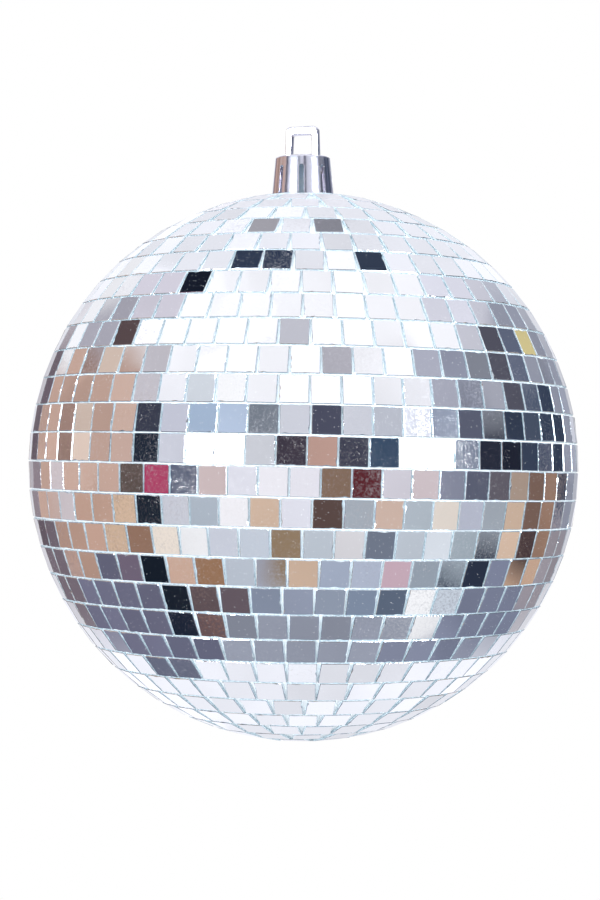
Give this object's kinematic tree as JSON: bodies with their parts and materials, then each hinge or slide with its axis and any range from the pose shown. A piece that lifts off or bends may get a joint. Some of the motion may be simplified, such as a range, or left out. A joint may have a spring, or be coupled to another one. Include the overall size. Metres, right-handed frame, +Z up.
{
  "type": "mirror ball",
  "caption": "Hanging mirror ball: strips of square mirror tiles on a hollow core, turning under a slotted chrome crown cap with a moulded hanging loop.",
  "frame": {"origin": "middle of the underside of the hanging loop's top bar, where a hook bears", "axes": "+Z up along the spin axis, -Y towards the front; the loop's flat sides are turned 20 degrees clockwise from the front, seen from above"},
  "size_m": [0.2004, 0.2004, 0.2247],
  "materials": {
    "mirror_tile": "polished",
    "chrome_plating": "polished",
    "core_plastic": "matte",
    "collar_plastic": "satin",
    "clip_steel": "satin"
  },
  "bodies": {
    "hanger": {"hanging_loop": "chrome_plating", "crown_cap": "chrome_plating", "cap_stem": "collar_plastic", "stem_clip": "clip_steel"},
    "ball": {"neck_collar": "collar_plastic", "core_upper_half": "core_plastic", "core_lower_half": "core_plastic", "tile_strip_upper_01": "mirror_tile", "tile_strip_upper_02": "mirror_tile", "tile_strip_upper_03": "mirror_tile", "tile_strip_upper_04": "mirror_tile", "tile_strip_upper_05": "mirror_tile", "tile_strip_upper_06": "mirror_tile", "tile_strip_upper_07": "mirror_tile", "tile_strip_upper_08": "mirror_tile", "tile_strip_upper_09": "mirror_tile", "tile_strip_upper_10": "mirror_tile", "tile_strip_upper_11": "mirror_tile", "tile_strip_upper_12": "mirror_tile", "tile_strip_upper_13": "mirror_tile", "tile_strip_upper_14": "mirror_tile", "tile_strip_lower_01": "mirror_tile", "tile_strip_lower_02": "mirror_tile", "tile_strip_lower_03": "mirror_tile", "tile_strip_lower_04": "mirror_tile", "tile_strip_lower_05": "mirror_tile", "tile_strip_lower_06": "mirror_tile", "tile_strip_lower_07": "mirror_tile", "tile_strip_lower_08": "mirror_tile", "tile_strip_lower_09": "mirror_tile", "tile_strip_lower_10": "mirror_tile", "tile_strip_lower_11": "mirror_tile", "tile_strip_lower_12": "mirror_tile", "tile_strip_lower_13": "mirror_tile", "tile_strip_lower_14": "mirror_tile", "pole_tiles_lower": "mirror_tile"}
  },
  "joints": [
    {"name": "ball_spin", "type": "hinge", "parent": "hanger", "child": "ball", "pos_m": [0, 0, 0], "axis": [0, 0, 1], "continuous": true}
  ]
}
